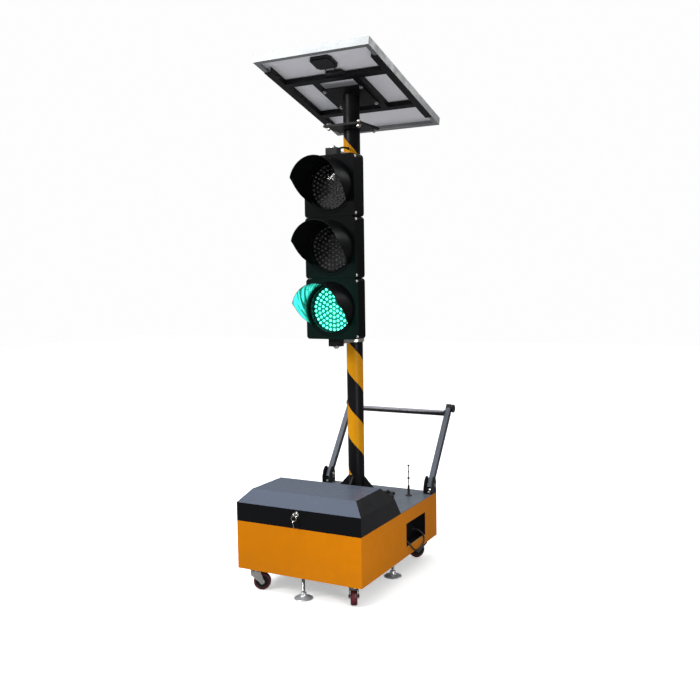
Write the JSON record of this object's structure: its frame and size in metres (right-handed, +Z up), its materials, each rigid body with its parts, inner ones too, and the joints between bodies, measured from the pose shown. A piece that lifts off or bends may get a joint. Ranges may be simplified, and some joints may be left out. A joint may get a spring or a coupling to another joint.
{
  "type": "portable solar traffic light",
  "caption": "Towable traffic light on an orange wheeled base: striped mast, signal head with visors, sloping solar panel, lidded battery bay, towing handle, levelling feet.",
  "frame": {"origin": "centre of the bottom face of the bounding box, on the ground under the feet, the charging lead left out", "axes": "+X to the right along the front, -Y is the front with the lock and the lamps, +Z up along the mast"},
  "size_m": [0.62, 1.088, 2.3034],
  "materials": {
    "orange_paint": "fine-texture powder coat",
    "grey_paint": "satin powder coat",
    "black_paint": "satin powder coat",
    "striped_paint": "gloss yellow with black diagonal bands",
    "zinc_steel": "bright zinc plate",
    "chromed": "polished",
    "black_plastic": "fine moulded grain",
    "signal_plastic": "semi-matt moulded",
    "cord_black": "matt sheath",
    "battery_case": "matt moulded",
    "controller_case": "matt moulded",
    "anodised": "anodised",
    "solar_glass": "dark blue cells under glass",
    "backsheet_white": "satin film",
    "arm_paint": "grey powder coat",
    "wheel_tread": "maroon polyurethane on a black core",
    "lens_red_clear": "smoked clear lens",
    "lens_amber_clear": "smoked clear lens",
    "lens_green_lit": "clear lens, lit green",
    "led_board": "dark board with light-emitting dots"
  },
  "bodies": {
    "trolley": {"base_shell": "orange_paint", "lock_keeper": "zinc_steel", "base_floor": "black_paint", "rear_deck": "grey_paint", "side_recess": "black_plastic", "charger_inlet": "black_plastic", "charge_lead": "cord_black", "battery": "battery_case", "controller": "controller_case", "mast_foot": "black_paint", "mast_pipe": "striped_paint", "mast_flange": "black_paint", "frame_bolts": "zinc_steel", "upper_pole": "black_paint", "panel_plate": "black_paint", "panel_side_rails": "black_paint", "panel_crossbars": "black_paint", "panel_frame": "anodised", "panel_glass": "solar_glass", "panel_backsheet": "backsheet_white", "junction_box": "black_plastic", "antenna": "black_plastic", "deck_gland": "black_plastic", "handle_clevises": "black_paint", "handle_bolts": "zinc_steel", "caster_plates": "zinc_steel", "foot_bushes": "zinc_steel", "lid_hinge_fixed": "black_paint"},
    "lid": {"lid_shell": "grey_paint", "lid_hinge_moving": "black_paint", "lock_barrel": "chromed"},
    "lock": {"lock_cam": "zinc_steel"},
    "keys": {"key_set": "zinc_steel"},
    "handle": {"handle_arms": "arm_paint", "handle_crossbar": "arm_paint"},
    "signal": {"signal_housings": "signal_plastic", "led_modules": "led_board", "signal_brackets": "black_paint", "signal_clamps": "zinc_steel", "signal_cable": "cord_black"},
    "door_red": {"door_red": "signal_plastic", "visor_red": "signal_plastic", "lens_red": "lens_red_clear"},
    "door_amber": {"door_amber": "signal_plastic", "visor_amber": "signal_plastic", "lens_amber": "lens_amber_clear"},
    "door_green": {"door_green": "signal_plastic", "visor_green": "signal_plastic", "lens_green": "lens_green_lit"},
    "fork_fl": {"caster_fork_fl": "zinc_steel"},
    "wheel_fl": {"caster_wheel_fl": "wheel_tread"},
    "fork_fr": {"caster_fork_fr": "zinc_steel"},
    "wheel_fr": {"caster_wheel_fr": "wheel_tread"},
    "fork_rl": {"caster_fork_rl": "zinc_steel"},
    "wheel_rl": {"caster_wheel_rl": "wheel_tread"},
    "fork_rr": {"caster_fork_rr": "zinc_steel"},
    "wheel_rr": {"caster_wheel_rr": "wheel_tread"},
    "foot_front": {"foot_front": "chromed"},
    "foot_rear": {"foot_rear": "chromed"},
    "foot_left": {"foot_left": "chromed"},
    "foot_right": {"foot_right": "chromed"}
  },
  "joints": [
    {"name": "lid_hinge", "type": "hinge", "parent": "trolley", "child": "lid", "pos_m": [0, -0.12347, 0.3185], "axis": [-1, 0, 0], "range_deg": [0, 72]},
    {"name": "lock_turn", "type": "hinge", "parent": "lid", "child": "lock", "pos_m": [0, -0.51347, 0.372], "axis": [0, -1, 0], "range_deg": [0, 90]},
    {"name": "key_swing", "type": "hinge", "parent": "lock", "child": "keys", "pos_m": [0, -0.53547, 0.372], "axis": [1, 0, 0], "range_deg": [-70, 14]},
    {"name": "handle_fold", "type": "hinge", "parent": "trolley", "child": "handle", "pos_m": [0, 0.26653, 0.35], "axis": [-1, 0, 0], "range_deg": [-50, 90]},
    {"name": "caster_swivel_fl", "type": "hinge", "parent": "trolley", "child": "fork_fl", "pos_m": [-0.24, -0.46847, 0.09], "axis": [0, 0, 1], "continuous": true},
    {"name": "caster_roll_fl", "type": "hinge", "parent": "fork_fl", "child": "wheel_fl", "pos_m": [-0.21528, -0.45533, 0.039], "axis": [-0.4695, 0.8829, 0], "continuous": true},
    {"name": "caster_swivel_fr", "type": "hinge", "parent": "trolley", "child": "fork_fr", "pos_m": [0.24, -0.46847, 0.09], "axis": [0, 0, 1], "continuous": true},
    {"name": "caster_roll_fr", "type": "hinge", "parent": "fork_fr", "child": "wheel_fr", "pos_m": [0.22686, -0.44375, 0.039], "axis": [-0.8829, -0.4695, 0], "continuous": true},
    {"name": "caster_swivel_rl", "type": "hinge", "parent": "trolley", "child": "fork_rl", "pos_m": [-0.24, 0.24153, 0.09], "axis": [0, 0, 1], "continuous": true},
    {"name": "caster_roll_rl", "type": "hinge", "parent": "fork_rl", "child": "wheel_rl", "pos_m": [-0.26631, 0.23195, 0.039], "axis": [0.342, -0.9397, 0], "continuous": true},
    {"name": "caster_swivel_rr", "type": "hinge", "parent": "trolley", "child": "fork_rr", "pos_m": [0.24, 0.24153, 0.09], "axis": [0, 0, 1], "continuous": true},
    {"name": "caster_roll_rr", "type": "hinge", "parent": "fork_rr", "child": "wheel_rr", "pos_m": [0.22238, 0.21977, 0.039], "axis": [0.7771, -0.6293, 0], "continuous": true},
    {"name": "foot_screw_front", "type": "slide", "parent": "trolley", "child": "foot_front", "axis": [0, 0, 1], "range_m": [-0.03, 0.025]},
    {"name": "foot_screw_rear", "type": "slide", "parent": "trolley", "child": "foot_rear", "axis": [0, 0, 1], "range_m": [-0.03, 0.025]},
    {"name": "foot_screw_left", "type": "slide", "parent": "trolley", "child": "foot_left", "axis": [0, 0, 1], "range_m": [-0.03, 0.025]},
    {"name": "foot_screw_right", "type": "slide", "parent": "trolley", "child": "foot_right", "axis": [0, 0, 1], "range_m": [-0.03, 0.025]},
    {"name": "signal_aim", "type": "hinge", "parent": "trolley", "child": "signal", "pos_m": [0, 0.03153, 1.4775], "axis": [0, 0, 1], "range_deg": [-90, 90]},
    {"name": "door_hinge_green", "type": "hinge", "parent": "signal", "child": "door_green", "pos_m": [-0.128, -0.16647, 1.21], "axis": [0, 0, -1], "range_deg": [0, 110]},
    {"name": "door_hinge_amber", "type": "hinge", "parent": "signal", "child": "door_amber", "pos_m": [-0.128, -0.16647, 1.4775], "axis": [0, 0, -1], "range_deg": [0, 110]},
    {"name": "door_hinge_red", "type": "hinge", "parent": "signal", "child": "door_red", "pos_m": [-0.128, -0.16647, 1.745], "axis": [0, 0, -1], "range_deg": [0, 110]}
  ]
}
